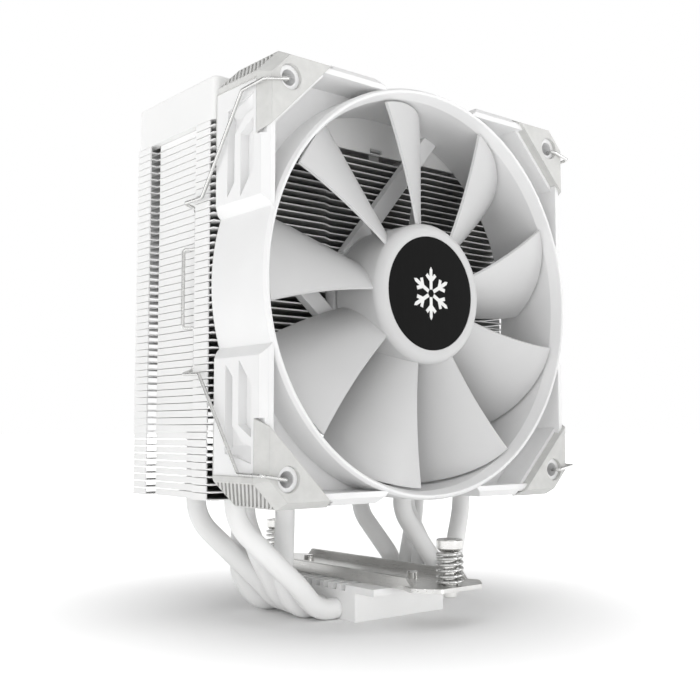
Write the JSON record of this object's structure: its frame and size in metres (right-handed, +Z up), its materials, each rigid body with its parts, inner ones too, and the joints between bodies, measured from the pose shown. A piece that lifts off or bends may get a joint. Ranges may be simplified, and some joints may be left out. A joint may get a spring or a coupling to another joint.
{
  "type": "tower cpu cooler",
  "caption": "White tower heatsink: folded fins on U-shaped heat pipes over a contact block, with a clip-on fan, corner pads and a sprung mounting bar.",
  "frame": {"origin": "centre of the contact face under the base block, in the plane that rests on the processor", "axes": "+Z up along the tower, +Y from the fan to the back of the fins, +X to the right seen from the fan"},
  "size_m": [0.1238, 0.0936, 0.1551],
  "materials": {
    "coated_metal": "matte white powder coat",
    "cover_coat": "matte white powder coat",
    "bar_steel": "nickel-plated sheet steel, satin",
    "bright_steel": "bright nickel-plated steel",
    "spring_wire": "nickel-plated spring wire",
    "frame_plastic": "matte white plastic",
    "blade_plastic": "soft-sheen white plastic",
    "pad_rubber": "matte light grey soft rubber",
    "label_gloss": "gloss black film with a plain white mark",
    "motor_steel": "plain steel sheet",
    "magnet": "bonded magnet strip",
    "copper": "enamelled copper wire",
    "board": "green circuit board",
    "bronze": "sintered bronze",
    "sticker": "plain light film"
  },
  "bodies": {
    "cooler": {"bar_rivets": "bright_steel", "base_block": "coated_metal", "bearing_sleeve": "bronze", "corner_pad_bottom_left": "pad_rubber", "corner_pad_bottom_right": "pad_rubber", "corner_pad_top_left": "pad_rubber", "corner_pad_top_right": "pad_rubber", "fan_frame": "frame_plastic", "fin_stack": "coated_metal", "heat_pipe_1": "coated_metal", "heat_pipe_2": "coated_metal", "heat_pipe_3": "coated_metal", "heat_pipe_4": "coated_metal", "heat_pipe_5": "coated_metal", "motor_board": "board", "motor_label": "sticker", "mounting_bar": "bar_steel", "stator_coils": "copper", "stator_core": "motor_steel", "thrust_disc": "motor_steel", "top_cover": "cover_coat", "top_fin": "coated_metal"},
    "rotor": {"impeller": "blade_plastic", "hub_label": "label_gloss", "rotor_yoke": "motor_steel", "rotor_magnet": "magnet", "rotor_shaft": "bright_steel", "shaft_lock_ring": "motor_steel"},
    "front_screw_slide": {"retaining_ring_front": "bar_steel", "screw_spring_front": "spring_wire"},
    "front_screw": {"spring_screw_front": "bright_steel"},
    "back_screw_slide": {"retaining_ring_back": "bar_steel", "screw_spring_back": "spring_wire"},
    "back_screw": {"spring_screw_back": "bright_steel"},
    "left_clip": {"wire_clip_left": "spring_wire"},
    "right_clip": {"wire_clip_right": "spring_wire"}
  },
  "joints": [
    {"name": "fan_spin", "type": "hinge", "parent": "cooler", "child": "rotor", "pos_m": [0, -0.0234, 0.0946], "axis": [0, 1, 0], "continuous": true},
    {"name": "front_screw_travel", "type": "slide", "parent": "cooler", "child": "front_screw_slide", "axis": [0, 0, -1], "range_m": [0, 0.0038], "stiffness_N_per_m": 3000, "springref_m": -0.002, "deforming": ["screw_spring_front"]},
    {"name": "front_screw_turn", "type": "hinge", "parent": "front_screw_slide", "child": "front_screw", "pos_m": [0, -0.0418, 0.0144], "axis": [0, 0, 1], "continuous": true},
    {"name": "back_screw_travel", "type": "slide", "parent": "cooler", "child": "back_screw_slide", "axis": [0, 0, -1], "range_m": [0, 0.0038], "stiffness_N_per_m": 3000, "springref_m": -0.002, "deforming": ["screw_spring_back"]},
    {"name": "back_screw_turn", "type": "hinge", "parent": "back_screw_slide", "child": "back_screw", "pos_m": [0, 0.0418, 0.0144], "axis": [0, 0, 1], "continuous": true},
    {"name": "left_clip_swing", "type": "hinge", "parent": "cooler", "child": "left_clip", "pos_m": [-0.0536, -0.0351, 0.0946], "axis": [0, 0, 1], "range_deg": [0, 45]},
    {"name": "right_clip_swing", "type": "hinge", "parent": "cooler", "child": "right_clip", "pos_m": [0.0536, -0.0351, 0.0946], "axis": [0, 0, -1], "range_deg": [0, 45]}
  ]
}
